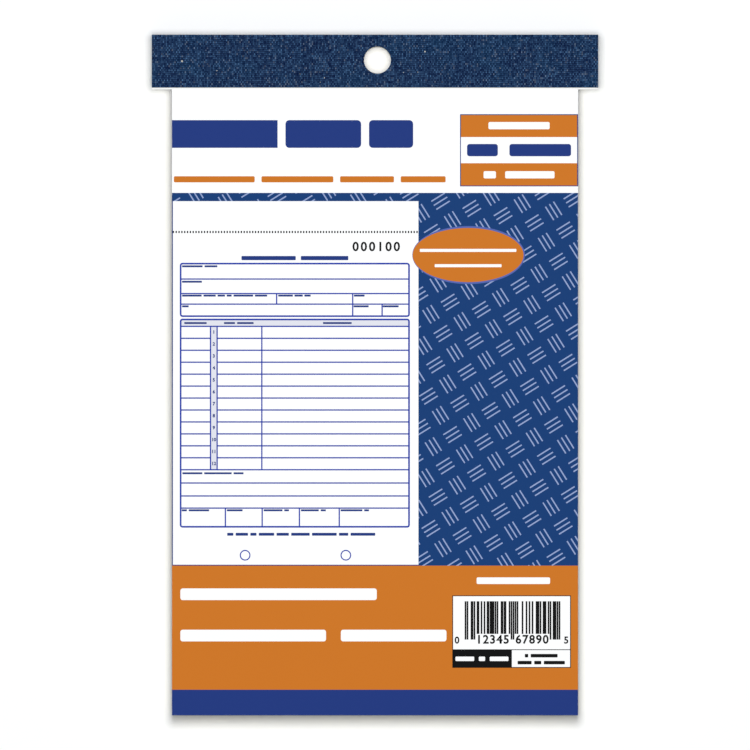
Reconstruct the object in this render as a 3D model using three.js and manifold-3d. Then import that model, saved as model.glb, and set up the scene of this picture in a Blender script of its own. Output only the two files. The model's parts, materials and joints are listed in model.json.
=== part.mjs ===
// Receiving record book: two-part sets bound at the top under a cloth-covered header. Millimetres.
// X is the width, Y the length with the header at +Y, and Z the thickness with the front cover on top.
// The book lies closed on its back, and the origin is under the middle of it.
import * as THREE from "three";
import { mergeVertices } from "three/addons/utils/BufferGeometryUtils.js";
import Module from "manifold-3d";

// The book
const bookLength = 215.9; // foot to header top, 8 1/2 inches
const bookWidth = 128.8; // cover, sheets and back board
const coverThickness = 0.3;
const backBoardThickness = 1.2;

// The header, which stands past the book at both sides
const headerOverhang = 6.4;
const headerDepth = 16.8; // cloth flap, front and back
const headerBoardThickness = 0.8;
const boardReveal = 0.55; // board that shows below the cloth's edge
const clothThickness = 0.25;
const clothBend = 0.6; // outside radius where the cloth turns over the top
const hangHoleDiameter = 8.56;
const hangHoleFromTop = 8.05;
const hangHoleOffset = 0.76; // to the right of the middle

// The sets: a white original over a canary duplicate
const setCount = 50;
const sheetThickness = 0.08;
const airGap = 0.01; // between layers that only lie on each other
const singleSets = 18; // sets whose two sheets are separate pieces
const setsPerBundle = 4; // the sets below them, in bundles
const perforationDrop = 0.8; // tear-off line below the header board

// The loose card under the first set
const shieldThickness = 0.4;
const shieldSideInset = 1.4;
const shieldFootInset = 1.5;

// The staples
const stapleFromSide = 24.4; // side of the book to the middle of a staple
const stapleFromTop = 12;
const stapleCrown = 12.7;
const stapleClinch = 4.5;
const wireThickness = 0.5;

// Clearances
const glueLine = 0.02; // between cloth and board
const creaseGap = 0.15; // between the header and what turns at it
const wireClearance = 0.1;

// Places worked out from the sizes
const topY = bookLength / 2;
const footY = -bookLength / 2;
const headerWidth = bookWidth + 2 * headerOverhang;
const clothEdgeY = topY - headerDepth;
const hingeY = clothEdgeY - boardReveal;
const boundTopY = topY - clothThickness - glueLine; // top edge of all that the cloth wraps
const panelTopY = hingeY - creaseGap;
const sheetPitch = sheetThickness + airGap;

// Layers in the header, from the back up
const backStripZ = clothThickness + glueLine;
const backBoardZ = backStripZ + headerBoardThickness + airGap;
const stackZ = backBoardZ + backBoardThickness + airGap;
const stubCoverZ = stackZ + 2 * setCount * sheetPitch;
const frontStripZ = stubCoverZ + coverThickness + airGap;
const hingeZ = frontStripZ + headerBoardThickness;
const bookThickness = hingeZ + glueLine + clothThickness;

// The first set and the cover lie higher than their stubs, over the shield
const shieldZ = stackZ + 2 * (setCount - 1) * sheetPitch;
const firstSetZ = shieldZ + shieldThickness + airGap;
const coverZ = firstSetZ + 2 * sheetPitch;

const material = (color, roughness, metalness = 0) =>
  new THREE.MeshStandardMaterial({ color, roughness, metalness });
const navyCloth = material(0x213859, 0.9);
const whiteLinedBoard = material(0xe9e7e0, 0.85);
const greyBoard = material(0x9c9282, 0.95);
const coverCard = material(0xf7f7f5, 0.5);
const whitePaper = material(0xf4f4f1, 0.85);
const canaryPaper = material(0xf3e58c, 0.85);
const shieldCard = material(0xc9b48c, 0.9);
const stapleWire = material(0xb9bcc0, 0.35, 0.9);

const wasm = await Module();
wasm.setup();

const book = new THREE.Group();

function addMesh(name, geometry, meshMaterial) {
  const mesh = new THREE.Mesh(geometry, meshMaterial);
  mesh.name = name;
  book.add(mesh);
  return mesh;
}

// A box between two corners.
function boxBetween(low, high) {
  const size = high.map((value, i) => value - low[i]);
  const middle = high.map((value, i) => (value + low[i]) / 2);
  return new THREE.BoxGeometry(...size).translate(...middle);
}

function toSolid(geometry) {
  const bare = geometry.clone();
  bare.deleteAttribute("normal");
  bare.deleteAttribute("uv");
  const merged = mergeVertices(bare);
  return new wasm.Manifold(
    new wasm.Mesh({
      numProp: 3,
      vertProperties: merged.attributes.position.array,
      triVerts: new Uint32Array(merged.index.array),
    }),
  );
}

// What is left of a closed geometry once the cutters are taken away.
function cut(geometry, cutters) {
  const left = cutters.reduce((solid, cutter) => solid.subtract(toSolid(cutter)), toSolid(geometry));
  const { vertProperties, triVerts } = left.getMesh();
  const result = new THREE.BufferGeometry();
  result.setAttribute("position", new THREE.BufferAttribute(new Float32Array(vertProperties), 3));
  result.setIndex(new THREE.BufferAttribute(new Uint32Array(triVerts), 1));
  result.computeVertexNormals();
  return result;
}

// A flat piece in the middle of the width, from one Y to another, lying at z.
function plate(width, fromY, toY, z, thickness) {
  return boxBetween([-width / 2, fromY, z], [width / 2, toY, z + thickness]);
}

// Holes through the header
const throughHeight = 3 * bookThickness;
const hangHole = new THREE.CylinderGeometry(
  hangHoleDiameter / 2,
  hangHoleDiameter / 2,
  throughHeight,
  40,
)
  .rotateX(Math.PI / 2)
  .translate(hangHoleOffset, topY - hangHoleFromTop, 0);

const stapleY = topY - stapleFromTop;
const stapleMiddles = [-1, 1].map((side) => side * (bookWidth / 2 - stapleFromSide));
const wireRoom = wireThickness / 2 + wireClearance;

const legHoles = stapleMiddles.flatMap((middle) =>
  [-1, 1].map((side) => {
    const x = middle + (side * (stapleCrown - wireThickness)) / 2;
    return boxBetween(
      [x - wireRoom, stapleY - wireRoom, -throughHeight],
      [x + wireRoom, stapleY + wireRoom, throughHeight],
    );
  }),
);

// Grooves in the header boards, which the crowns and the clinched ends lie in.
function stapleGrooves(fromZ, toZ) {
  const reach = stapleCrown / 2 + wireClearance;
  return stapleMiddles.map((middle) =>
    boxBetween(
      [middle - reach, stapleY - wireRoom, fromZ],
      [middle + reach, stapleY + wireRoom, toZ],
    ),
  );
}

// The header cloth: a U round the top edge, drawn from the side and run across the width.
function clothProfile() {
  const inner = boundTopY + glueLine;
  const bendY = topY - clothBend;
  const profile = new THREE.Shape();
  profile.moveTo(clothEdgeY, 0);
  profile.lineTo(bendY, 0);
  profile.absarc(bendY, clothBend, clothBend, -Math.PI / 2, 0, false);
  profile.absarc(bendY, bookThickness - clothBend, clothBend, 0, Math.PI / 2, false);
  profile.lineTo(clothEdgeY, bookThickness);
  profile.lineTo(clothEdgeY, bookThickness - clothThickness);
  profile.lineTo(inner, bookThickness - clothThickness);
  profile.lineTo(inner, clothThickness);
  profile.lineTo(clothEdgeY, clothThickness);
  return profile;
}

const axisX = new THREE.Vector3(1, 0, 0);
const axisY = new THREE.Vector3(0, 1, 0);
const axisZ = new THREE.Vector3(0, 0, 1);

const clothWrap = new THREE.ExtrudeGeometry(clothProfile(), {
  depth: headerWidth,
  bevelEnabled: false,
  curveSegments: 6,
})
  .applyMatrix4(new THREE.Matrix4().makeBasis(axisY, axisZ, axisX))
  .translate(-headerWidth / 2, 0, 0);
addMesh("header_cloth", cut(clothWrap, [hangHole]), navyCloth);

// Header boards
const crownTopZ = stubCoverZ + coverThickness + airGap + wireThickness;
const clinchZ = backBoardZ - airGap - wireThickness;

const frontStrip = plate(headerWidth, hingeY, boundTopY, frontStripZ, headerBoardThickness);
const crownGrooves = stapleGrooves(frontStripZ - airGap, crownTopZ + wireClearance);
addMesh("header_board_front", cut(frontStrip, [hangHole, ...crownGrooves]), whiteLinedBoard);

const backStrip = plate(headerWidth, hingeY, boundTopY, backStripZ, headerBoardThickness);
const clinchGrooves = stapleGrooves(clinchZ - wireClearance, backBoardZ);
addMesh("header_board_back", cut(backStrip, [hangHole, ...clinchGrooves]), whiteLinedBoard);

// What the staples hold: cover stub, sheet stubs and back board
const bindingHoles = [hangHole, ...legHoles];
const coverStub = plate(bookWidth, hingeY, boundTopY, stubCoverZ, coverThickness);
addMesh("front_cover_stub", cut(coverStub, bindingHoles), coverCard);

const sheetStubs = plate(
  bookWidth,
  hingeY,
  boundTopY,
  stackZ,
  2 * setCount * sheetPitch - airGap,
);
addMesh("sheet_stubs", cut(sheetStubs, bindingHoles), whitePaper);

const backBoard = plate(bookWidth, footY, boundTopY, backBoardZ, backBoardThickness);
addMesh("back_board", cut(backBoard, bindingHoles), greyBoard);

// A staple: crown on top, two legs, and ends clinched inwards, drawn from the front.
function stapleProfile() {
  const half = stapleCrown / 2;
  const bend = wireThickness;
  const profile = new THREE.Shape();
  profile.moveTo(-half + stapleClinch, clinchZ);
  profile.lineTo(-half + stapleClinch, clinchZ + wireThickness);
  profile.lineTo(-half + wireThickness, clinchZ + wireThickness);
  profile.lineTo(-half + wireThickness, crownTopZ - wireThickness);
  profile.lineTo(half - wireThickness, crownTopZ - wireThickness);
  profile.lineTo(half - wireThickness, clinchZ + wireThickness);
  profile.lineTo(half - stapleClinch, clinchZ + wireThickness);
  profile.lineTo(half - stapleClinch, clinchZ);
  profile.absarc(half - bend, clinchZ + bend, bend, -Math.PI / 2, 0, false);
  profile.absarc(half - bend, crownTopZ - bend, bend, 0, Math.PI / 2, false);
  profile.absarc(-half + bend, crownTopZ - bend, bend, Math.PI / 2, Math.PI, false);
  profile.absarc(-half + bend, clinchZ + bend, bend, Math.PI, 1.5 * Math.PI, false);
  return profile;
}

["staple_left", "staple_right"].forEach((name, i) => {
  const staple = new THREE.ExtrudeGeometry(stapleProfile(), {
    depth: wireThickness,
    bevelEnabled: false,
    curveSegments: 4,
  })
    .applyMatrix4(new THREE.Matrix4().makeBasis(axisX, axisZ, axisY.clone().negate()))
    .translate(0, wireThickness / 2, 0);
  addMesh(name, staple, stapleWire).position.set(stapleMiddles[i], stapleY, 0);
});

// Sheets below the first set, counted from set 2 down to the last at the bottom
const originalZ = (set) => stackZ + (2 * (setCount - set) + 1) * sheetPitch;
const duplicateZ = (set) => stackZ + 2 * (setCount - set) * sheetPitch;
const setName = (set) => String(set).padStart(2, "0");

const sheet = (z) => plate(bookWidth, footY, panelTopY, z, sheetThickness);
for (let set = 2; set <= Math.min(singleSets, setCount); set++) {
  addMesh("original_" + setName(set), sheet(originalZ(set)), whitePaper);
  addMesh("duplicate_" + setName(set), sheet(duplicateZ(set)), canaryPaper);
}
for (let set = singleSets + 1; set <= setCount; set += setsPerBundle) {
  const last = Math.min(set + setsPerBundle - 1, setCount);
  const fromZ = duplicateZ(last);
  const thickness = originalZ(set) + sheetThickness - fromZ;
  addMesh(
    "sets_" + setName(set) + "_to_" + setName(last),
    plate(bookWidth, footY, panelTopY, fromZ, thickness),
    whitePaper,
  );
}

// What moves: the shield slides out, the first set and the cover turn, the first original tears off
const shieldWidth = bookWidth - 2 * shieldSideInset;
addMesh(
  "writing_shield",
  plate(shieldWidth, footY + shieldFootInset, panelTopY, shieldZ, shieldThickness),
  shieldCard,
);
addMesh("duplicate_01", sheet(firstSetZ), canaryPaper);
addMesh(
  "original_01",
  plate(bookWidth, footY, hingeY - perforationDrop, firstSetZ + sheetPitch, sheetThickness),
  whitePaper,
);
addMesh(
  "front_cover",
  plate(bookWidth, footY, panelTopY, coverZ, coverThickness),
  coverCard,
);

export default book;
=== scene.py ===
import json
import math
from collections import defaultdict
from itertools import groupby

import bmesh
import bpy
from mathutils import Matrix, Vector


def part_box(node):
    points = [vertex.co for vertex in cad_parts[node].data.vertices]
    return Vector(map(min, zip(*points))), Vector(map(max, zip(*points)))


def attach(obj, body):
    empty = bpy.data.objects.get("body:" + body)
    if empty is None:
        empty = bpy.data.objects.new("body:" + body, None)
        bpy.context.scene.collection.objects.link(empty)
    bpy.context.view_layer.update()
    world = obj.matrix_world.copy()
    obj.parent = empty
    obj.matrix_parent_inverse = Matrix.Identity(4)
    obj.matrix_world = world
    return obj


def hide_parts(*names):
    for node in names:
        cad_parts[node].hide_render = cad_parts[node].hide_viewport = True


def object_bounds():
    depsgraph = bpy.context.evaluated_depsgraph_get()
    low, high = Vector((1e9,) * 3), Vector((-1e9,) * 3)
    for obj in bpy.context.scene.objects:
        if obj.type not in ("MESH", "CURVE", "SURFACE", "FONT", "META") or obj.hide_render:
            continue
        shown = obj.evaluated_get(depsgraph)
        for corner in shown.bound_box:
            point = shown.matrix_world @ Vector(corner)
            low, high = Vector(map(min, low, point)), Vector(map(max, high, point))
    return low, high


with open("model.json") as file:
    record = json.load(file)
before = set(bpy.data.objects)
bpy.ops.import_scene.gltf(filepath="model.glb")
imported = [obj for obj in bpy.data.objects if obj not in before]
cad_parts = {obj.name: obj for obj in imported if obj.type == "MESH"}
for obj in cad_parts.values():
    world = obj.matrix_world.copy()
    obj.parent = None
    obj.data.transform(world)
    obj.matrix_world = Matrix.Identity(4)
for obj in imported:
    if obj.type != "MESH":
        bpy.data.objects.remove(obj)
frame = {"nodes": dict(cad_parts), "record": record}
cadLow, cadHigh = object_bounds()
mm = 0.001
print("frame loaded")


# Shader helpers

def seen(red, green, blue):
    # a colour as the eye reads it, 0 to 255, to the linear one that a shader takes
    def toLinear(value):
        part = value / 255
        return part / 12.92 if part <= 0.04045 else ((part + 0.055) / 1.055) ** 2.4
    return (toLinear(red), toLinear(green), toLinear(blue), 1.0)


def printed(red, green, blue, gloss=0.009):
    # the same for an ink, whose gloss adds a little light of its own
    return tuple(max(part - gloss, 0.0) for part in seen(red, green, blue)[:3]) + (1.0,)


def addNode(tree, kind, inputs=None, **settings):
    # an input takes a link or a fixed value, and the node's outputs come back
    node = tree.nodes.new(kind)
    for key, value in settings.items():
        setattr(node, key, value)
    for key, value in (inputs or {}).items():
        if isinstance(value, bpy.types.NodeSocket):
            tree.links.new(value, node.inputs[key])
        else:
            node.inputs[key].default_value = value
    return node.outputs


def maths(tree, operation, first, second=0.0):
    return addNode(tree, "ShaderNodeMath", {0: first, 1: second}, operation=operation)[0]


def plus(tree, first, second):
    return maths(tree, "ADD", first, second)


def minus(tree, first, second):
    return maths(tree, "SUBTRACT", first, second)


def times(tree, first, second):
    return maths(tree, "MULTIPLY", first, second)


def overLimit(tree, value, limit, gain):
    # what a value has above a limit, times a gain
    return times(tree, maths(tree, "MAXIMUM", minus(tree, value, limit), 0.0), gain)


def vectorOf(tree, x=0.0, y=0.0, z=0.0):
    return addNode(tree, "ShaderNodeCombineXYZ", {0: x, 1: y, 2: z})[0]


def axesOf(tree, vector):
    return addNode(tree, "ShaderNodeSeparateXYZ", {0: vector})


def mixValues(tree, factor, first, second):
    return addNode(tree, "ShaderNodeMix", {0: factor, 2: first, 3: second})[0]


def mixColors(tree, factor, first, second):
    return addNode(tree, "ShaderNodeMix", {0: factor, 6: first, 7: second}, data_type="RGBA")[2]


def makeNoise(tree, vector, scale, detail, roughness=0.5):
    return addNode(tree, "ShaderNodeTexNoise", {
        "Vector": vector, "Scale": scale, "Detail": detail, "Roughness": roughness})["Fac"]


def objectPlace(tree):
    return addNode(tree, "ShaderNodeTexCoord")["Object"]


def newShaderGroup(name, inputs, outputs):
    group = bpy.data.node_groups.new(name, "ShaderNodeTree")
    for label, (kind, value) in inputs.items():
        socket = group.interface.new_socket(label, in_out="INPUT", socket_type=kind)
        socket.default_value = value
    for label, kind in outputs.items():
        group.interface.new_socket(label, in_out="OUTPUT", socket_type=kind)
    return group, group.nodes.new("NodeGroupInput").outputs, group.nodes.new("NodeGroupOutput").inputs


def endGroup(group, out, **results):
    for label, value in results.items():
        group.links.new(value, out[label])
    return group


colorKind, floatKind = "NodeSocketColor", "NodeSocketFloat"

paperLook = {
    "fibreStretch": (1.0, 0.45, 1.0),
    "fibreRoughness": 0.6,
    "fibreShare": 0.6,
    "mottleScale": 55.0,
    "mottleShare": 0.4,
    "brightest": 0.75,
    "shadeGain": 2.0,
    "roughnessStray": 0.12,
}


def makePaperGrain():
    # fibres, a slow mottle and scattered flecks, for paper, card, board and print alike
    group, given, out = newShaderGroup("paperGrain", {
        "color": (colorKind, (0.9, 0.9, 0.9, 1)),
        "fleckColor": (colorKind, (0.5, 0.4, 0.3, 1)),
        "fleckAmount": (floatKind, 0.0),
        "fleckScale": (floatKind, 900.0),
        "fibreScale": (floatKind, 2400.0),
        "shade": (floatKind, 0.05),
        "roughness": (floatKind, 0.85),
    }, {"color": colorKind, "roughness": floatKind, "height": floatKind})
    look = paperLook
    position = objectPlace(group)
    stretched = addNode(group, "ShaderNodeMapping", {
        "Vector": position, "Scale": look["fibreStretch"]})[0]
    fibre = makeNoise(group, stretched, given["fibreScale"], 4.0, look["fibreRoughness"])
    mottle = makeNoise(group, position, look["mottleScale"], 3.0)
    spots = addNode(group, "ShaderNodeTexVoronoi", {
        "Vector": stretched, "Scale": given["fleckScale"]})["Distance"]
    both = plus(group, times(group, fibre, look["fibreShare"]), times(group, mottle, look["mottleShare"]))
    dark = times(group, minus(group, look["brightest"], both), given["shade"])
    shaded = mixColors(group, times(group, dark, look["shadeGain"]), given["color"], (0, 0, 0, 1))
    isFleck = maths(group, "LESS_THAN", spots, times(group, given["fleckAmount"], fibre))
    color = mixColors(group, isFleck, shaded, given["fleckColor"])
    stray = times(group, minus(group, fibre, 0.5), look["roughnessStray"])
    rough = plus(group, given["roughness"], stray)
    return endGroup(group, out, color=color, roughness=rough, height=fibre)


clothLook = {
    "waverScale": 200.0,
    "waver": 0.0004,
    "weftHeight": 0.62,
    "archFoot": 0.5,
    "archRise": 0.7,
    "threadsApart": 7.31,
    "threadRun": 0.9,
    "slubFrom": 0.38,
    "slubGain": 1.7,
    "crossingPower": 3.0,
    "crossingGain": 0.8,
    "patchScale": 120.0,
    "patchFrom": 0.45,
    "patchGain": 2.4,
    "paleFrom": 0.94,
    "paleGain": 0.4,
    "lintScale": 330.0,
    "lintPower": 4.0,
    "lintSize": 0.43,
    "lintGain": 0.7,
    "roughness": 0.92,
    "topRoughnessDrop": 0.14,
}


def makeClothWeave():
    # a plain weave: warp and weft take turns on top, each thread with its own tone, and a little lint;
    # painted shade darkens the dips between threads
    group, given, out = newShaderGroup("clothWeave", {
        "warpPitch": (floatKind, 0.468 * mm),
        "weftPitch": (floatKind, 0.634 * mm),
        "dark": (colorKind, seen(0, 5, 36)),
        "middle": (colorKind, seen(0, 29, 74)),
        "light": (colorKind, seen(73, 110, 152)),
        "pale": (colorKind, seen(132, 144, 162)),
        "patch": (colorKind, seen(0, 56, 96)),
        "lint": (colorKind, seen(226, 222, 206)),
    }, {"color": colorKind, "roughness": floatKind, "height": floatKind})
    look = clothLook
    position = objectPlace(group)
    wobble = makeNoise(group, position, look["waverScale"], 2.0)
    x, y, z = axesOf(group, position)
    bend = times(group, minus(group, wobble, 0.5), look["waver"])
    across = maths(group, "DIVIDE", plus(group, x, bend), given["warpPitch"])
    along = maths(group, "DIVIDE", plus(group, plus(group, y, z), bend), given["weftPitch"])
    warp = maths(group, "SINE", times(group, across, math.pi))
    weft = maths(group, "SINE", times(group, along, math.pi))
    warpOnTop = maths(group, "GREATER_THAN", times(group, warp, weft), 0.0)
    warpRound, weftRound = maths(group, "ABSOLUTE", warp), maths(group, "ABSOLUTE", weft)
    # the weft lies a little deeper and each thread dips where it goes under; this height also darkens the
    # colour below, as painted shade
    level = mixValues(group, warpOnTop, times(group, weftRound, look["weftHeight"]), warpRound)
    rise = times(group, mixValues(group, warpOnTop, warpRound, weftRound), look["archRise"])
    height = times(group, level, plus(group, look["archFoot"], rise))

    def threadTone(number, run):
        # thick and thin places that last for a few crossings along one thread
        own = times(group, maths(group, "FLOOR", number), look["threadsApart"])
        slow = times(group, run, look["threadRun"])
        return makeNoise(group, vectorOf(group, own, slow), 1.0, 2.0)

    tone = mixValues(group, warpOnTop, threadTone(along, across), threadTone(across, along))
    cell = vectorOf(group, maths(group, "FLOOR", across), maths(group, "FLOOR", along))
    chance = addNode(group, "ShaderNodeTexWhiteNoise", {"Vector": cell}, noise_dimensions="3D")
    patches = makeNoise(group, position, look["patchScale"], 1.0)
    patched = overLimit(group, patches, look["patchFrom"], look["patchGain"])
    ground = mixColors(group, patched, given["middle"], given["patch"])
    # painted shade: the dark colour fills the dips between threads and the deeper weft
    body = mixColors(group, height, given["dark"], ground)
    # the lighter thread tone and the pale crossings are weighted by height, so they sit on the raised
    # crowns: part real thread tone, part painted highlight
    seldom = maths(group, "POWER", chance["Value"], look["crossingPower"])
    lighter = plus(group, overLimit(group, tone, look["slubFrom"], look["slubGain"]),
                   times(group, seldom, look["crossingGain"]))
    toned = mixColors(group, times(group, lighter, height), body, given["light"])
    paleChance = axesOf(group, chance["Color"])[1]
    isPale = times(group, maths(group, "GREATER_THAN", paleChance, look["paleFrom"]), height)
    paled = mixColors(group, times(group, isPale, look["paleGain"]), toned, given["pale"])
    spots = addNode(group, "ShaderNodeTexVoronoi", {
        "Vector": position, "Scale": look["lintScale"]})["Distance"]
    lintSize = times(group, maths(group, "POWER", wobble, look["lintPower"]), look["lintSize"])
    isLint = maths(group, "LESS_THAN", spots, lintSize)
    color = mixColors(group, times(group, isLint, look["lintGain"]), paled, given["lint"])
    rough = minus(group, look["roughness"], times(group, height, look["topRoughnessDrop"]))
    return endGroup(group, out, color=color, roughness=rough, height=height)


edgeLook = {
    "sheetShare": 0.86,
    "sheetGapShade": (0.12, 0.11, 0.1, 1),
    "parting": {"scale": (90.0, 90.0, 1300.0), "from": 0.5, "gain": 4.0, "color": (0.2, 0.18, 0.13, 1)},
}


def makeEdgeStripes():
    # sheets seen from their edges: two colours in turn, a dark line of painted shade between sheets,
    # and wider partings here and there, painted as darker shade
    group, given, out = newShaderGroup("edgeStripes", {
        "first": (colorKind, (1, 1, 0.5, 1)),
        "second": (colorKind, (0.9, 0.9, 0.9, 1)),
        "start": (floatKind, 0.0),
        "pitch": (floatKind, 0.09 * mm),
    }, {"color": colorKind, "height": floatKind})
    parting = edgeLook["parting"]
    position = objectPlace(group)
    up = axesOf(group, position)[2]
    sheet = maths(group, "DIVIDE", minus(group, up, given["start"]), given["pitch"])
    isSecond = maths(group, "FLOOR", maths(group, "MODULO", sheet, 2.0))
    inSheet = maths(group, "LESS_THAN", maths(group, "FRACT", sheet), edgeLook["sheetShare"])
    plain = mixColors(group, isSecond, given["first"], given["second"])
    # painted shade in the gap between one sheet and the next
    gapShaded = mixColors(group, inSheet, edgeLook["sheetGapShade"], plain)
    layered = addNode(group, "ShaderNodeMapping", {
        "Vector": position, "Scale": parting["scale"]})[0]
    # painted shade in the wider partings
    partingShade = overLimit(group, makeNoise(group, layered, 1.0, 3.0), parting["from"], parting["gain"])
    color = mixColors(group, partingShade, gapShaded, parting["color"])
    return endGroup(group, out, color=color, height=inSheet)


paperGrain, clothWeave, edgeStripes = makePaperGrain(), makeClothWeave(), makeEdgeStripes()


def newMaterial(name):
    material = bpy.data.materials.new(name)
    material.use_nodes = True
    tree = material.node_tree
    return material, tree, tree.nodes["Principled BSDF"]


def groupedMaterial(name, group, values, bump, specular=0.5):
    # a material whose colour, roughness and relief come from a group
    material, tree, shader = newMaterial(name)
    made = addNode(tree, "ShaderNodeGroup", values, node_tree=group)
    relief = addNode(tree, "ShaderNodeBump", {"Height": made["height"], "Distance": bump})[0]
    tree.links.new(relief, shader.inputs["Normal"])
    tree.links.new(made["color"], shader.inputs["Base Color"])
    if "roughness" in made:
        tree.links.new(made["roughness"], shader.inputs["Roughness"])
    shader.inputs["Specular IOR Level"].default_value = specular
    return material, shader


def paperMaterial(name, color, bump=0.012 * mm, specular=0.35, **grain):
    return groupedMaterial(name, paperGrain, {"color": color, **grain}, bump, specular)[0]


def clothMaterial(name):
    material, shader = groupedMaterial(name, clothWeave, {}, bump=0.09 * mm, specular=0.08)
    shader.inputs["Sheen Weight"].default_value = 0.01
    return material


def edgeMaterial(name, **stripes):
    material, shader = groupedMaterial(name, edgeStripes, stripes, bump=0.02 * mm)
    shader.inputs["Roughness"].default_value = 0.85
    return material


steelLook = {"color": seen(196, 198, 202), "scratchScale": 6000.0, "smoothest": 0.22, "scratchGain": 0.2}


def steelMaterial(name):
    material, tree, shader = newMaterial(name)
    scratch = makeNoise(tree, objectPlace(tree), steelLook["scratchScale"], 2.0)
    rough = plus(tree, steelLook["smoothest"], times(tree, scratch, steelLook["scratchGain"]))
    tree.links.new(rough, shader.inputs["Roughness"])
    shader.inputs["Base Color"].default_value = steelLook["color"]
    shader.inputs["Metallic"].default_value = 1.0
    return material


whiteInk = seen(254, 254, 254)
inkLook = {"roughness": 0.6, "bump": 0.004 * mm, "specular": 0.075}
papers = {
    "headerBoard": {"color": seen(250, 249, 247), "roughness": 0.9, "fleckAmount": 0.1,
                    "fleckColor": seen(206, 200, 190)},
    "coverCard": {"color": whiteInk, "shade": 0.012, **inkLook},
    "whitePaper": {"color": seen(251, 251, 249), "shade": 0.03},
    "canaryPaper": {"color": seen(252, 238, 160), "shade": 0.04},
    "shieldCard": {"color": seen(234, 215, 172), "roughness": 0.9, "shade": 0.16, "bump": 0.03 * mm,
                   "fleckAmount": 0.16, "fleckColor": seen(150, 118, 74)},
    "chipboard": {"color": seen(158, 148, 132), "roughness": 0.95, "shade": 0.3, "bump": 0.06 * mm,
                  "fleckAmount": 0.26, "fleckColor": seen(104, 92, 78), "fibreScale": 1500.0},
}
inks = {
    "orange": printed(206, 119, 42),
    "fieldBlue": printed(29, 64, 118),
    "bandBlue": printed(39, 60, 127),
    "lineBlue": printed(46, 66, 166),
    "paleBlue": printed(150, 166, 206),
    "rimBlue": printed(88, 104, 174),
    "white": whiteInk,
    "grey": printed(226, 227, 236),
    "black": printed(22, 19, 24),
}
materials = {"headerCloth": clothMaterial("headerCloth"), "stapleWire": steelMaterial("stapleWire")}
for paperName, look in papers.items():
    materials[paperName] = paperMaterial(paperName, **look)
for inkName, color in inks.items():
    materials[inkName] = paperMaterial(inkName + "Ink", color, shade=0.025, **inkLook)
print("materials made")


# Mesh helpers

def newPiece(name, data):
    piece = bpy.data.objects.new(name, data)
    bpy.context.scene.collection.objects.link(piece)
    return piece


def finishMesh(name, bm, materialName):
    mesh = bpy.data.meshes.new(name)
    bm.to_mesh(mesh)
    bm.free()
    mesh.materials.append(materials[materialName])
    return newPiece(name, mesh)


def finishedShape(piece):
    # a plain mesh of what a text or a piece with modifiers has come to
    bpy.context.view_layer.update()
    return bpy.data.meshes.new_from_object(piece.evaluated_get(bpy.context.evaluated_depsgraph_get()))


def place(piece, body, replaced=()):
    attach(piece, body)
    if replaced:
        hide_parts(*replaced)
    return piece


def addWall(bm, near, far):
    # faces between two loops of as many points
    for i in range(len(near)):
        j = (i + 1) % len(near)
        bm.faces.new((near[i], near[j], far[j], far[i]))


def addPrism(bm, outline, low, high):
    bottom = [bm.verts.new((x, y, low)) for x, y in outline]
    top = [bm.verts.new((x, y, high)) for x, y in outline]
    bm.faces.new(top)
    bm.faces.new(bottom[::-1])
    addWall(bm, bottom, top)


def addRing(bm, outer, inner, low, high):
    outLow, inLow, outHigh, inHigh = (
        [bm.verts.new((x, y, z)) for x, y in line] for z in (low, high) for line in (outer, inner))
    for near, far in ((outHigh, inHigh), (inLow, outLow), (outLow, outHigh), (inHigh, inLow)):
        addWall(bm, near, far)


def arc(x, y, radius, start, steps, turn=90):
    angles = [math.radians(start + turn * step / steps) for step in range(steps + 1)]
    return [(x + radius * math.cos(angle), y + radius * math.sin(angle)) for angle in angles]


def roundedBox(left, foot, width, height, radius=0.0, steps=4):
    if radius <= 0:
        return [(left, foot), (left + width, foot), (left + width, foot + height), (left, foot + height)]
    near, far = left + radius, left + width - radius
    low, high = foot + radius, foot + height - radius
    corners = ((far, low, -90), (far, high, 0), (near, high, 90), (near, low, 180))
    return [point for x, y, start in corners for point in arc(x, y, radius, start, steps)]


def oval(x, y, width, height, steps=96):
    angles = [2 * math.pi * step / steps for step in range(steps)]
    return [(x + width / 2 * math.cos(angle), y + height / 2 * math.sin(angle)) for angle in angles]


# A press holds one print: where it lies, how big it is, and the shapes of each ink.
# Places on it are in millimetres, from the left and up from the foot of the print.

def newPress(left, foot, surface, scale=1.0, inkThickness=0.01 * mm):
    return {"left": left, "foot": foot, "surface": surface, "scale": scale, "inkThickness": inkThickness,
            "inks": defaultdict(bmesh.new)}


def toSheet(press, outline):
    scale = press["scale"] * mm
    return [(press["left"] + x * scale, press["foot"] + y * scale) for x, y in outline]


def levels(press, level):
    # every ink stands on the sheet, and one that covers another is that much thicker
    return press["surface"], press["surface"] + (level + 1) * press["inkThickness"]


def printShape(press, ink, outline, level=0):
    addPrism(press["inks"][ink], toSheet(press, outline), *levels(press, level))


def printRing(press, ink, outer, inner, level):
    addRing(press["inks"][ink], toSheet(press, outer), toSheet(press, inner), *levels(press, level))


def printBox(press, ink, left, foot, width, height, radius=0.0, level=0):
    printShape(press, ink, roundedBox(left, foot, width, height, radius), level)


def printFrame(press, ink, left, foot, width, height, line, radius=0.0, level=0):
    # a frame whose corners are round has a radius larger than its line
    outer = roundedBox(left, foot, width, height, radius)
    inner = roundedBox(left + line, foot + line, width - 2 * line, height - 2 * line, radius - line)
    printRing(press, ink, outer, inner, level)


def printCircle(press, ink, x, y, diameter, line, level=0):
    hole = diameter - 2 * line
    printRing(press, ink, oval(x, y, diameter, diameter), oval(x, y, hole, hole), level)


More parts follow.
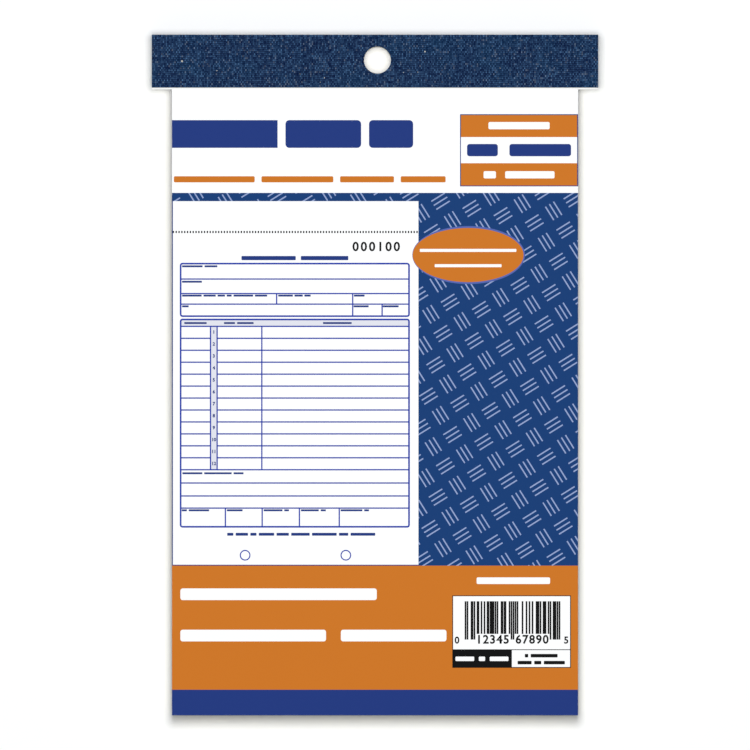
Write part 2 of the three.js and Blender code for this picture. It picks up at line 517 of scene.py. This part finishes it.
def printLine(press, ink, line, start, end, level=0):
    # a level or an upright line of one width between two points on its middle
    if start[0] == end[0]:
        printBox(press, ink, start[0] - line / 2, start[1], line, end[1] - start[1], level=level)
    else:
        printBox(press, ink, start[0], start[1] - line / 2, end[0] - start[0], line, level=level)


barShape = {"space": 0.75, "cornerOfHeight": 0.2, "cornerOfLength": 0.3}


def printBars(press, ink, left, foot, width, height, lengths=(1,), level=0):
    # a row of plain round-cornered bars, with the lengths as shares of the width
    unit = width / (sum(lengths) + barShape["space"] * (len(lengths) - 1))
    x = left
    for length in lengths:
        radius = min(barShape["cornerOfHeight"] * height, barShape["cornerOfLength"] * length * unit)
        printBox(press, ink, x, foot, length * unit, height, radius, level)
        x += (length + barShape["space"]) * unit


def printNumber(press, ink, digits, left, foot, height, spacing=1.0, weight=0.0, level=0, centred=False):
    curve = bpy.data.curves.new("digits", "FONT")
    curve.body = digits
    curve.space_character = spacing
    curve.align_x = "CENTER" if centred else "LEFT"
    curve.resolution_u = 3
    holder = newPiece("digits", curve)
    flat = finishedShape(holder)
    bpy.data.objects.remove(holder)
    bpy.data.curves.remove(curve)
    capHeight = max(vertex.co.y for vertex in flat.vertices)
    digit = bmesh.new()
    digit.from_mesh(flat)
    bmesh.ops.remove_doubles(digit, verts=digit.verts, dist=0.001)
    thicken(digit, weight)
    low, high = levels(press, level)
    size = height * press["scale"] * mm / capHeight
    startX, startY = toSheet(press, [(left, foot)])[0]
    for vertex in digit.verts:
        vertex.co = (startX + vertex.co.x * size, startY + vertex.co.y * size, low)
    raised = bmesh.ops.extrude_face_region(digit, geom=digit.faces[:], use_keep_orig=True)["geom"]
    for vertex in raised:
        if isinstance(vertex, bmesh.types.BMVert):
            vertex.co.z = high
    digit.to_mesh(flat)
    digit.free()
    press["inks"][ink].from_mesh(flat)
    bpy.data.meshes.remove(flat)


def thicken(bm, weight):
    # moves the outline of a flat shape outwards, holes too
    outward = {}
    for edge in bm.edges:
        if edge.is_boundary:
            loop = edge.link_loops[0]
            run = loop.link_loop_next.vert.co - loop.vert.co
            side = run.cross(loop.face.normal).normalized()
            for vertex in edge.verts:
                outward.setdefault(vertex, []).append(side)
    for vertex, sides in outward.items():
        corner = sides[0] + sides[-1]
        vertex.co += corner * (weight / max(0.5, corner.length_squared / 2))


def pullPrint(press, name, body):
    for ink, bm in press["inks"].items():
        bmesh.ops.recalc_face_normals(bm, faces=bm.faces)
        place(finishMesh(name + "_" + ink, bm, ink), body)


# Geometry Nodes helpers

intKind, vectorKind, materialKind = "NodeSocketInt", "NodeSocketVector", "NodeSocketMaterial"


def newTree(name, **inputs):
    tree = bpy.data.node_groups.new(name, "GeometryNodeTree")
    tree.interface.new_socket("Geometry", in_out="OUTPUT", socket_type="NodeSocketGeometry")
    for label, kind in inputs.items():
        tree.interface.new_socket(label, in_out="INPUT", socket_type=kind)
    return tree, tree.nodes.new("NodeGroupInput").outputs, tree.nodes.new("NodeGroupOutput").inputs


def endTree(tree, out, geometry, material):
    realized = addNode(tree, "GeometryNodeRealizeInstances", {0: geometry})[0]
    finished = addNode(tree, "GeometryNodeSetMaterial", {"Geometry": realized, "Material": material})
    tree.links.new(finished[0], out["Geometry"])
    return tree


def growMesh(tree, **values):
    # runs a tree on an empty mesh and gives back the plain mesh it makes
    holder = newPiece("holder", bpy.data.meshes.new("holder"))
    modifier = holder.modifiers.new("nodes", "NODES")
    modifier.node_group = tree
    for item in tree.interface.items_tree:
        if item.name in values:
            modifier[item.identifier] = values[item.name]
    mesh = finishedShape(holder)
    holder.modifiers.remove(modifier)
    bpy.data.objects.remove(holder)
    return mesh


def makeBarRow():
    # equal bars, a fixed step apart: ruled lines, perforation cuts and sheets in a stack
    tree, given, out = newTree("barRow", count=intKind, step=vectorKind, barSize=vectorKind,
                               firstMiddle=vectorKind, shift=vectorKind, seed=intKind,
                               material=materialKind)
    row = addNode(tree, "GeometryNodeMeshLine", {
        "Count": given["count"], "Start Location": given["firstMiddle"], "Offset": given["step"]})[0]
    least = addNode(tree, "ShaderNodeVectorMath", {0: given["shift"], "Scale": -1.0}, operation="SCALE")
    stray = addNode(tree, "FunctionNodeRandomValue", {
        0: least[0], 1: given["shift"], "Seed": given["seed"]}, data_type="FLOAT_VECTOR")[0]
    points = addNode(tree, "GeometryNodeSetPosition", {"Geometry": row, "Offset": stray})[0]
    bar = addNode(tree, "GeometryNodeMeshCube", {"Size": given["barSize"]})[0]
    bars = addNode(tree, "GeometryNodeInstanceOnPoints", {"Points": points, "Instance": bar})[0]
    return endTree(tree, out, bars, given["material"])


def makeBasketWeave():
    # cells of parallel bars, turned a quarter from one cell to the next
    tree, given, out = newTree("basketWeave", cells=intKind, cellSize="NodeSocketFloat", bars=intKind,
                               barSize=vectorKind, barStep="NodeSocketFloat", turn=vectorKind,
                               middle=vectorKind, material=materialKind)
    cells = given["cells"]
    size = times(tree, minus(tree, cells, 1.0), given["cellSize"])
    grid = addNode(tree, "GeometryNodeMeshGrid", {
        "Size X": size, "Size Y": size, "Vertices X": cells, "Vertices Y": cells})[0]
    stepUp = vectorOf(tree, y=given["barStep"])
    drop = times(tree, minus(tree, given["bars"], 1.0), -0.5)
    start = addNode(tree, "ShaderNodeVectorMath", {0: stepUp, "Scale": drop}, operation="SCALE")[0]
    line = addNode(tree, "GeometryNodeMeshLine", {
        "Count": given["bars"], "Start Location": start, "Offset": stepUp})[0]
    bar = addNode(tree, "GeometryNodeMeshCube", {"Size": given["barSize"]})[0]
    cell = addNode(tree, "GeometryNodeInstanceOnPoints", {"Points": line, "Instance": bar})[0]
    index = addNode(tree, "GeometryNodeInputIndex")[0]
    column = maths(tree, "FLOOR", maths(tree, "DIVIDE", index, cells))
    both = plus(tree, column, maths(tree, "MODULO", index, cells))
    quarter = times(tree, maths(tree, "MODULO", both, 2.0), math.pi / 2)
    field = addNode(tree, "GeometryNodeInstanceOnPoints", {
        "Points": grid, "Instance": cell, "Rotation": vectorOf(tree, z=quarter)})[0]
    placed = addNode(tree, "GeometryNodeTransform", {
        "Geometry": field, "Translation": given["middle"], "Rotation": given["turn"]})[0]
    return endTree(tree, out, placed, given["material"])


barRow, basketWeave = makeBarRow(), makeBasketWeave()


def printRow(press, ink, count, firstX, firstY, stepX, stepY, width, height, level=0):
    # a row of bars by their middles, grown with Geometry Nodes
    low, high = levels(press, level)
    scale = press["scale"] * mm
    x, y = toSheet(press, [(firstX, firstY)])[0]
    mesh = growMesh(barRow, count=count, step=(stepX * scale, stepY * scale, 0.0),
                    barSize=(width * scale, height * scale, high - low),
                    firstMiddle=(x, y, (low + high) / 2), material=materials[ink])
    press["inks"][ink].from_mesh(mesh)
    bpy.data.meshes.remove(mesh)


def clipToBox(bm, low, high):
    for axis in (0, 1):
        for limit, side in ((low[axis], -1), (high[axis], 1)):
            point, normal = [0.0, 0.0, 0.0], [0.0, 0.0, 0.0]
            point[axis], normal[axis] = limit, side
            cut = bmesh.ops.bisect_plane(bm, geom=bm.verts[:] + bm.edges[:] + bm.faces[:], dist=1e-7,
                                         plane_co=point, plane_no=normal, clear_outer=True)
            rim = [edge for edge in cut["geom_cut"] if isinstance(edge, bmesh.types.BMEdge)]
            bmesh.ops.edgeloop_fill(bm, edges=rim)


# The header: navy cloth over two boards, with one hole through everything

headerCloth = {
    "clothThickness": 0.25 * mm,
    "bendRadius": 0.6 * mm,
    "bendSteps": 8,
    "edgeSoftness": 0.07 * mm,
    "holeDiameter": 8.56 * mm,
    "holeSteps": 96,
    "stations": 48,
}


def clothOutline():
    # the wrap from the side, as (y, z) points
    low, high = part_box("header_cloth")
    thick, bend = headerCloth["clothThickness"], headerCloth["bendRadius"]
    inner = high.y - thick
    points = [(low.y, 0.0)]
    for middleZ, start in ((bend, -90), (high.z - bend, 0)):
        points += arc(high.y - bend, middleZ, bend, start, headerCloth["bendSteps"])
    return points + [(low.y, high.z), (low.y, high.z - thick), (inner, high.z - thick), (inner, thick),
                     (low.y, thick)]


def makeHeaderCloth():
    low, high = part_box("header_cloth")
    outline = clothOutline()
    bm = bmesh.new()
    rings = []
    for station in range(headerCloth["stations"] + 1):
        x = low.x + (high.x - low.x) * station / headerCloth["stations"]
        rings.append([bm.verts.new((x, y, z)) for y, z in outline])
    for near, far in zip(rings, rings[1:]):
        addWall(bm, near, far)
    bm.faces.new(rings[0][::-1])
    bm.faces.new(rings[-1])
    bmesh.ops.recalc_face_normals(bm, faces=bm.faces)
    cloth = finishMesh("header_cloth_wrap", bm, "headerCloth")

    mounts = {mount["name"]: mount for mount in frame["record"]["mounts"]}
    radius = headerCloth["holeDiameter"] / 2
    cutter = bmesh.new()
    bmesh.ops.create_cone(cutter, cap_ends=True, segments=headerCloth["holeSteps"], depth=4 * high.z,
                          radius1=radius, radius2=radius,
                          matrix=Matrix.Translation(mounts["hang_hole"]["pos_m"]))
    punch = finishMesh("punch", cutter, "headerCloth")
    bore = cloth.modifiers.new("hole", "BOOLEAN")
    bore.object, bore.operation, bore.solver = punch, "DIFFERENCE", "EXACT"
    soft = cloth.modifiers.new("soft", "BEVEL")
    soft.width, soft.segments, soft.limit_method = headerCloth["edgeSoftness"], 2, "ANGLE"
    soft.angle_limit = math.radians(40)
    mesh = finishedShape(cloth)
    cloth.modifiers.clear()
    cloth.data = mesh
    bpy.data.objects.remove(punch)
    for face in mesh.polygons:
        face.use_smooth = False
    return place(cloth, "root", ["header_cloth"])


makeHeaderCloth()
stackStart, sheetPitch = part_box("sheet_stubs")[0].z, 0.09 * mm
materials["stubEdges"] = edgeMaterial("stubEdges", first=seen(252, 243, 196), second=seen(250, 250, 248),
                                      start=stackStart, pitch=sheetPitch)
cadFinishes = {
    "header_board_front": "headerBoard", "header_board_back": "headerBoard",
    "front_cover_stub": "coverCard", "sheet_stubs": "stubEdges", "back_board": "chipboard",
    "staple_left": "stapleWire", "staple_right": "stapleWire",
}
for nodeName, materialName in cadFinishes.items():
    node = frame["nodes"][nodeName]
    node.data.materials.clear()
    node.data.materials.append(materials[materialName])
print("header made")


# The sheets: every set below the first, one mesh for the originals and one for the duplicates

sheetStack = {
    "thickness": 0.08 * mm,
    "straySide": 0.07 * mm,
    "strayFoot": 0.09 * mm,
    "originalSeed": 11,
    "duplicateSeed": 23,
}


def nodesNamed(start):
    return sorted(name for name in frame["nodes"] if name.startswith(start) and not name.endswith("_01"))


def makeStack(name, firstNode, materialName, seed, replaced):
    low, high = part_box(firstNode)
    thick, side, foot = sheetStack["thickness"], sheetStack["straySide"], sheetStack["strayFoot"]
    bottom = stackStart + (low.z - stackStart) % (2 * sheetPitch)
    count = round((low.z - bottom) / (2 * sheetPitch)) + 1
    mesh = growMesh(barRow, count=count, step=(0.0, 0.0, 2 * sheetPitch), shift=(side, foot, 0.0),
                    seed=seed, barSize=(high.x - low.x - 2 * side, high.y - low.y - 2 * foot, thick),
                    firstMiddle=(0.0, (low.y + high.y) / 2, bottom + thick / 2),
                    material=materials[materialName])
    print(name, count, "sheets")
    return place(newPiece(name, mesh), "root", replaced)


makeStack("original_sheets", "original_02", "whitePaper", sheetStack["originalSeed"],
          nodesNamed("original_") + nodesNamed("sets_"))
makeStack("duplicate_sheets", "duplicate_02", "canaryPaper", sheetStack["duplicateSeed"],
          nodesNamed("duplicate_"))


# Cards and sheets that move

movingSheets = {
    "edgeSoftness": 0.03 * mm,
    "shieldCorner": 3.0 * mm,
    "toothPitch": 1.3 * mm,
    "toothRadius": 0.26 * mm,
    "toothSteps": 4,
    "cut": {"length": 0.8, "width": 0.2},
}


def makePlate(name, node, body, materialName, outline=None, corner=0.0, head=None, soft=True):
    # a flat sheet as its node is, or with its own outline, corners or head
    low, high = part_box(node)
    outline = outline or roundedBox(low.x, low.y, high.x - low.x, (head or high.y) - low.y, corner, 8)
    bm = bmesh.new()
    addPrism(bm, outline, low.z, high.z)
    if soft:
        rims = [edge for edge in bm.edges if abs(edge.verts[0].co.z - edge.verts[1].co.z) < 0.001 * mm]
        bmesh.ops.bevel(bm, geom=rims, offset=movingSheets["edgeSoftness"], segments=2, affect="EDGES")
    bmesh.ops.recalc_face_normals(bm, faces=bm.faces)
    return place(finishMesh(name, bm, materialName), body, [node])


def tornEdgeOutline(node):
    # a plain sheet with half-round perforation teeth along its head
    low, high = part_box(node)
    pitch, radius = movingSheets["toothPitch"], movingSheets["toothRadius"]
    count = int((high.x - low.x) / pitch)
    spare = (high.x - low.x - (count - 1) * pitch) / 2
    points = [(low.x, low.y), (high.x, low.y), (high.x, high.y)]
    for tooth in range(count):
        points += arc(high.x - spare - tooth * pitch, high.y, radius, 0, movingSheets["toothSteps"], -180)
    return points + [(low.x, high.y)]


makePlate("shield_card", "writing_shield", "writing_shield", "shieldCard",
          corner=movingSheets["shieldCorner"])
makePlate("first_duplicate", "duplicate_01", "first_set", "canaryPaper", soft=False)
makePlate("first_original", "original_01", "first_original", "whitePaper",
          tornEdgeOutline("original_01"), soft=False)
makePlate("cover_panel", "front_cover", "front_cover", "coverCard",
          head=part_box("front_cover_stub")[0].y)
print("sheets made")


# The form: two tables for a delivery, in millimetres at the size that the cover shows it

form = {
    "width": 78.18,
    "length": 115.61,
    "line": 0.42,
    "frameLine": 0.54,
    "corner": 0.85,
    "smallBarHeight": 0.6,
    "perforation": {"fromTop": 9.78, "count": 87, "width": 0.44, "height": 0.7},
    "number": {"left": 57.24, "foot": 99.85, "height": 2.8, "digits": "000100", "spacing": 1.29,
               "weight": 0.028},
    "headBars": {"left": 22.04, "foot": 96.9, "width": 33.9, "height": 1.32, "lengths": (8, 7)},
    "topTable": {"left": 2.48, "foot": 78.87, "width": 72.98, "height": 17.2},
    "topRows": (90.91, 86.3, 82.95),
    "topColumns": ((33.2, 82.95, 86.3), (57.33, 79.0, 86.3), (66.66, 79.0, 82.95)),
    "mainTable": {"left": 2.48, "foot": 12.05, "width": 72.98, "height": 66.3},
    "headRow": 75.9,
    "rows": 12,
    "rowPitch": 3.79,
    "numberColumn": (12.22, 14.32),
    "itemColumn": 28.5,
    "noteRows": (26.21, 22.1, 18.25),
    "footColumns": (16.94, 28.61, 40.42, 53.06),
    "rowNumber": {"height": 1.0, "weight": 0.045, "lift": 0.1},
    "footBars": {"left": 17.51, "foot": 9.5, "width": 46.97, "height": 0.9,
                 "lengths": (2, 4, 2, 5, 4, 6, 8, 3, 8)},
    "rings": {"x": (23.2, 55.15), "y": 3.3, "diameter": 3.4, "line": 0.36},
}
# small bars at the head of each space: left, foot, width and the lengths of the bars
smallBars = (
    (3.2, 94.65, 11.2, (8, 5)), (3.2, 89.75, 6.3, (7,)),
    (3.2, 85.35, 27.0, (8, 5, 3, 2, 8, 5)), (33.7, 85.35, 10.3, (7, 4, 3)), (57.7, 85.35, 3.4, (4,)),
    (3.2, 81.95, 2.1, (3,)), (57.6, 81.95, 4.8, (7,)), (66.9, 81.95, 5.0, (7,)),
    (3.9, 76.65, 7.1, (8,)), (16.5, 76.65, 9.4, (4, 6)), (47.9, 76.65, 9.1, (11,)),
    (3.3, 29.0, 19.4, (8, 11, 4)),
    (3.1, 17.25, 8.7, (2, 8)), (17.4, 17.25, 5.0, (6,)), (29.1, 17.25, 8.0, (8, 2)),
    (40.9, 17.25, 7.9, (7, 2)), (53.5, 17.25, 9.0, (9, 2)),
)


def printPerforation(press):
    dots = form["perforation"]
    step = form["width"] / dots["count"]
    printRow(press, "black", dots["count"], step / 2, form["length"] - dots["fromTop"], step, 0.0,
             dots["width"], dots["height"], level=1)


def printItemRows(press):
    # the ruled rows of the main table under its grey head
    main, line, inset = form["mainTable"], form["line"], form["frameLine"]
    lastRow = form["headRow"] - form["rows"] * form["rowPitch"]
    numberLeft, numberRight = form["numberColumn"]
    printBox(press, "grey", main["left"] + inset, form["headRow"], main["width"] - 2 * inset,
             main["foot"] + main["height"] - inset - form["headRow"])
    printRow(press, "lineBlue", form["rows"] + 1, main["left"] + main["width"] / 2, form["headRow"],
             0.0, -form["rowPitch"], main["width"], line, level=1)
    # the grey column of row numbers covers the rows that run under it
    printBox(press, "grey", numberLeft, lastRow + line / 2, numberRight - numberLeft,
             form["headRow"] - lastRow - line, level=2)
    for x in (numberLeft, numberRight, form["itemColumn"]):
        printLine(press, "lineBlue", line, (x, lastRow), (x, form["headRow"]), 3)
    rowNumber = form["rowNumber"]
    for row in range(form["rows"]):
        middle = form["headRow"] - (row + 0.5) * form["rowPitch"] + rowNumber["lift"]
        foot = middle - rowNumber["height"] / 2
        printNumber(press, "bandBlue", str(row + 1), (numberLeft + numberRight) / 2, foot,
                    rowNumber["height"], weight=rowNumber["weight"], level=3, centred=True)


def printForm(press):
    line = form["line"]
    printNumber(press, "black", **form["number"])
    printBars(press, "bandBlue", **form["headBars"])
    # lines that cross lie one above the other, so that no two tops share a plane
    top, main = form["topTable"], form["mainTable"]
    for table, rows in ((top, form["topRows"]), (main, form["noteRows"])):
        printFrame(press, "lineBlue", line=form["frameLine"], radius=form["corner"], **table)
        for y in rows:
            printLine(press, "lineBlue", line, (table["left"], y), (table["left"] + table["width"], y), 1)
    for x, foot, head in form["topColumns"]:
        printLine(press, "lineBlue", line, (x, foot), (x, head), 2)
    printItemRows(press)
    for x in form["footColumns"]:
        printLine(press, "lineBlue", line, (x, main["foot"]), (x, form["noteRows"][-1]), 2)
    for left, foot, length, lengths in smallBars:
        printBars(press, "bandBlue", left, foot, length, form["smallBarHeight"], lengths, level=1)
    printBars(press, "bandBlue", **form["footBars"])
    rings = form["rings"]
    for x in rings["x"]:
        printCircle(press, "lineBlue", x, rings["y"], rings["diameter"], rings["line"])


# The cover print, in millimetres from the cover's left edge and foot

cover = {
    "width": 128.8,
    "footStripe": 8.12,
    "orangeTop": 47.48,
    "blueTop": 165.72,
    "formTop": 163.09,
    "formRight": 78.18,
    "formEdge": 0.3,
    "topBars": {"foot": 180.0, "height": 8.8, "corner": 1.2,
                "bars": ((0.0, 33.5), (36.0, 24.0), (62.5, 14.0))},
    "orangeBars": {"left": 0.6, "foot": 169.05, "width": 86.2, "height": 1.95, "lengths": (9, 8, 6, 5)},
    "panel": {"left": 91.38, "foot": 167.78, "width": 37.42, "line": 0.28},
    "ovalPatch": {"x": 93.93, "y": 146.0, "width": 35.2, "height": 17.2},
    "ovalRim": {"x": 94.1, "y": 146.0, "width": 35.75, "height": 18.4},
    "ovalBarHeight": 0.95,
    "wideBarHeight": 3.7,
    "shortBar": {"left": 96.64, "foot": 41.65, "width": 23.3, "height": 2.1},
    "whiteBox": {"left": 88.93, "foot": 15.07, "width": 37.6, "height": 22.96, "line": 0.25,
                 "divider": 5.74, "split": 18.88},
}
# rows of the side panel from its foot: height, ground, then the bars' ink, width, height and lengths
panelRows = (
    (7.36, "orange", "white", 22.5, 2.3, (1, 4)),
    (8.28, "white", "bandBlue", 33.0, 3.9, (2, 4)),
    (7.26, "orange", "white", 19.4, 2.3, (5,)),
)
# bars in the oval: width and foot above its middle
ovalBars = ((30.6, 1.0), (21.2, -3.85))
# wide white bars on the orange: left, foot and width
wideBars = ((2.66, 36.55, 62.3), (2.66, 23.45, 46.2), (53.57, 23.45, 33.5))
# rows of bars in the foot of the white box: ink, left, foot, width, height, lengths
boxBars = (
    ("white", 1.0, 2.15, 16.8, 1.4, (3, 1, 3)),
    ("black", 23.0, 3.3, 10.4, 1.1, (1, 8)),
    ("black", 20.7, 1.1, 15.0, 1.1, (4, 2, 6)),
)
weave = {
    "cells": 31,
    "cellSize": 7.2,
    "bars": 3,
    "barLength": 5.0,
    "barWidth": 0.42,
    "barStep": 1.5,
    "middle": (103.5, 106.6),
    "turn": math.radians(32),
}
barcode = {
    "left": 92.95,
    "foot": 25.82,
    "width": 30.14,
    "height": 10.37,
    "guardDrop": 1.8,
    "inkSpread": 0.11,
    "digits": "012345678905",
    "digitDrop": 3.0,
    "spacing": 1.15,
    "weight": 0.028,
    # groups of digits under the bars: left, the first digit, the one after the last, and height
    "groups": ((3.5, 1, 6, 2.6), (16.0, 6, 11, 2.6), (-3.3, 0, 1, 2.1), (31.34, 11, 12, 2.1)),
}
# the bars of each digit in the left half, seven modules wide, 0 to 9
digitBars = ("0001101", "0011001", "0010011", "0111101", "0100011",
             "0110001", "0101111", "0111011", "0110111", "0001011")


def printWeave(press, left, foot, right, top):
    # the tint on the blue ground, cut off at the ground's edges
    low, high = toSheet(press, [(left, foot), (right, top)])
    zLow, zHigh = levels(press, 1)
    mesh = growMesh(basketWeave, cells=weave["cells"], cellSize=weave["cellSize"] * mm, bars=weave["bars"],
                    barSize=(weave["barLength"] * mm, weave["barWidth"] * mm, zHigh - zLow),
                    barStep=weave["barStep"] * mm, turn=(0.0, 0.0, weave["turn"]),
                    middle=toSheet(press, [weave["middle"]])[0] + ((zLow + zHigh) / 2,),
                    material=materials["paleBlue"])
    bm = bmesh.new()
    bm.from_mesh(mesh)
    clipToBox(bm, low, high)
    bm.to_mesh(mesh)
    bm.free()
    press["inks"]["paleBlue"].from_mesh(mesh)
    bpy.data.meshes.remove(mesh)


def printBarcode(press):
    digits, spread = barcode["digits"], barcode["inkSpread"]
    guard, middle, half = "101", "01010", len(digits) // 2
    patterns = [digitBars[int(digit)] for digit in digits]
    right = "".join(patterns[half:]).translate(str.maketrans("01", "10"))
    code = guard + "".join(patterns[:half]) + middle + right + guard
    module = barcode["width"] / len(code)
    outer = len(guard) + len(digitBars[0])
    centre = range((len(code) - len(middle)) // 2, (len(code) + len(middle)) // 2)

    def kindOf(i):
        # bar or space, and whether it reaches down between the digits
        return code[i], i < outer or i in centre or i >= len(code) - outer

    for (bar, isTall), run in groupby(range(len(code)), kindOf):
        modules = list(run)
        if bar == "1":
            drop = barcode["guardDrop"] if isTall else 0.0
            left = barcode["left"] + modules[0] * module - spread
            printBox(press, "black", left, barcode["foot"] - drop, len(modules) * module + 2 * spread,
                     barcode["height"] + drop, level=2)
    foot = barcode["foot"] - barcode["digitDrop"]
    for left, first, end, height in barcode["groups"]:
        printNumber(press, "black", digits[first:end], barcode["left"] + left, foot, height,
                    barcode["spacing"], barcode["weight"], level=2)


def printGrounds(press):
    width, formRight, edge = cover["width"], cover["formRight"], cover["formEdge"]
    orangeTop, formTop, blueTop = cover["orangeTop"], cover["formTop"], cover["blueTop"]
    printBox(press, "bandBlue", 0, 0, width, cover["footStripe"])
    printBox(press, "orange", 0, cover["footStripe"], width, orangeTop - cover["footStripe"])
    for left, foot, right in ((formRight, orangeTop, width), (0, formTop, formRight)):
        printBox(press, "fieldBlue", left, foot, right - left, blueTop - foot)
        printWeave(press, left, foot, right, blueTop)
    printBox(press, "bandBlue", 0, orangeTop, edge, formTop - orangeTop)
    printBox(press, "bandBlue", edge, orangeTop, formRight - edge, edge)


def printPanel(press):
    panel = cover["panel"]
    foot = panel["foot"]
    for height, ground, ink, barWidth, barHeight, lengths in panelRows:
        printBox(press, ground, panel["left"], foot, panel["width"], height)
        left = panel["left"] + (panel["width"] - barWidth) / 2
        printBars(press, ink, left, foot + (height - barHeight) / 2, barWidth, barHeight, lengths, level=1)
        foot += height
    printFrame(press, "bandBlue", panel["left"], panel["foot"], panel["width"], foot - panel["foot"],
               panel["line"], level=1)


def printOvalPatch(press):
    patch = cover["ovalPatch"]
    printShape(press, "rimBlue", oval(**cover["ovalRim"]), 2)
    printShape(press, "orange", oval(**patch), 3)
    for width, up in ovalBars:
        printBars(press, "white", patch["x"] - width / 2, patch["y"] + up, width, cover["ovalBarHeight"],
                  level=4)


def printWhiteBox(press):
    box = cover["whiteBox"]
    left, foot, line = box["left"], box["foot"], box["line"]
    printBox(press, "white", left, foot, box["width"], box["height"], level=1)
    printFrame(press, "black", left, foot, box["width"], box["height"], line, level=2)
    dividerY = foot + box["divider"]
    printLine(press, "black", line, (left, dividerY), (left + box["width"], dividerY), 3)
    printBox(press, "black", left, foot, box["split"], box["divider"], level=4)
    for ink, right, up, width, height, lengths in boxBars:
        printBars(press, ink, left + right, foot + up, width, height, lengths, level=5)
    printBarcode(press)


def printCover(press):
    printGrounds(press)
    topBars = cover["topBars"]
    for left, length in topBars["bars"]:
        corner = topBars["corner"] if left else 0.0
        printBox(press, "bandBlue", left, topBars["foot"], length, topBars["height"], corner)
    printBars(press, "orange", **cover["orangeBars"])
    printPanel(press)
    printOvalPatch(press)
    for left, foot, length in wideBars:
        printBars(press, "white", left, foot, length, cover["wideBarHeight"], level=1)
    printBars(press, "white", level=1, **cover["shortBar"])
    printWhiteBox(press)


coverLow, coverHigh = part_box("front_cover")
coverPress = newPress(coverLow.x, coverLow.y, coverHigh.z)
printCover(coverPress)
pullPrint(coverPress, "cover_print", "front_cover")
picturePress = newPress(coverLow.x, coverLow.y + cover["orangeTop"] * mm, coverHigh.z)
printForm(picturePress)
printPerforation(picturePress)
pullPrint(picturePress, "cover_form", "front_cover")
print("cover printed")


# The form again at full size, on the sheets that can be laid open

formScale = cover["width"] / form["width"]
sheetInk = 0.003 * mm
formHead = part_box("header_cloth")[1].y
for node, body, slotName in (("original_01", "first_original", "white_paper"),
                             ("duplicate_01", "first_set", "canary_paper"),
                             ("original_02", "root", "white_paper")):
    low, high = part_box(node)
    sheetPress = newPress(low.x, formHead - form["length"] * formScale * mm, high.z, formScale, sheetInk)
    printForm(sheetPress)
    pullPrint(sheetPress, node + "_form", body)

# the next original is still whole and not torn: its tear line is a row of black marks, painted shade in
# the slits, with no cut through the sheet
low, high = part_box("original_02")
cut, cutPitch = movingSheets["cut"], movingSheets["toothPitch"] / mm
cutCount = int((high.x - low.x) / movingSheets["toothPitch"])
cutPress = newPress((low.x + high.x) / 2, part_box("original_01")[1].y, high.z, inkThickness=sheetInk)
printRow(cutPress, "black", cutCount, -(cutCount - 1) / 2 * cutPitch, 0.0, cutPitch, 0.0, cut["length"],
         cut["width"])
pullPrint(cutPress, "original_02_slit_shade", "root")
print("sheets printed")


# The stage: a white floor, a broad soft light straight above, a lamp over the head, and a camera above

stage = {
    "floorSize": 6.0,
    "floorDrop": 0.02 * mm,
    "floorTone": (0.99, 0.99, 0.99, 1.0),
    "frameWidth": 237.88 * mm,
    "lens": 1000.0,
    "sensor": 36.0,
    "broadLight": {"strength": 0.8, "angle": 15.0},
    "headLamp": {"power": 25.0, "radius": 0.14, "y": 0.1, "height": 0.8},
    "skyStrength": 0.18,
    "skyColor": (0.86, 0.94, 1.0, 1.0),
    "backdropStrength": 0.96,
    "clip": (0.1, 20.0),
}


def addLight(name, kind, strength, height):
    light = bpy.data.lights.new(name, kind)
    light.energy = strength
    holder = newPiece(name, light)
    holder.visible_camera = False
    holder.location.z = height
    return holder


def makeFloor():
    bm = bmesh.new()
    bmesh.ops.create_grid(bm, x_segments=1, y_segments=1, size=stage["floorSize"] / 2,
                          matrix=Matrix.Translation((0.0, 0.0, -stage["floorDrop"])))
    materials["floor"], tree, shader = newMaterial("floor")
    shader.inputs["Base Color"].default_value = stage["floorTone"]
    shader.inputs["Roughness"].default_value = 0.9
    shader.inputs["Specular IOR Level"].default_value = 0.0
    floor = finishMesh("floor", bm, "floor")


def makeLights():
    broad, lamp = stage["broadLight"], stage["headLamp"]
    broadLight = addLight("broadLight", "SUN", broad["strength"], lamp["height"])
    broadLight.data.angle = math.radians(broad["angle"])
    headLamp = addLight("headLamp", "POINT", lamp["power"], lamp["height"])
    headLamp.location.y = lamp["y"]
    headLamp.data.shadow_soft_size = lamp["radius"]
    # the lamp is as strong at the foot of the book as at its head
    headLamp.data.use_nodes = True
    tree = headLamp.data.node_tree
    even = addNode(tree, "ShaderNodeLightFalloff", {"Strength": 1.0})["Constant"]
    tree.links.new(even, tree.nodes["Emission"].inputs["Strength"])


def makeSky():
    # a faint cool light all round, which the camera sees as a plain pale ground
    world = bpy.data.worlds.new("sky")
    world.use_nodes = True
    tree = world.node_tree
    back = tree.nodes["Background"]
    back.inputs["Color"].default_value = stage["skyColor"]
    back.inputs["Strength"].default_value = stage["skyStrength"]
    backdrop = addNode(tree, "ShaderNodeBackground", {
        "Color": (1, 1, 1, 1), "Strength": stage["backdropStrength"]})[0]
    isCamera = addNode(tree, "ShaderNodeLightPath")["Is Camera Ray"]
    mixed = addNode(tree, "ShaderNodeMixShader", {0: isCamera, 1: back.outputs[0], 2: backdrop})
    tree.links.new(mixed[0], tree.nodes["World Output"].inputs["Surface"])
    bpy.context.scene.world = world


def makeCamera():
    data = bpy.data.cameras.new("camera")
    data.lens, data.sensor_width = stage["lens"], stage["sensor"]
    data.clip_start, data.clip_end = stage["clip"]
    camera = newPiece("camera", data)
    camera.location.z = cadHigh.z + stage["frameWidth"] * stage["lens"] / stage["sensor"]
    bpy.context.scene.camera = camera
    bpy.context.scene.view_settings.view_transform = "Standard"


makeFloor()
makeLights()
makeSky()
makeCamera()
print("stage set")
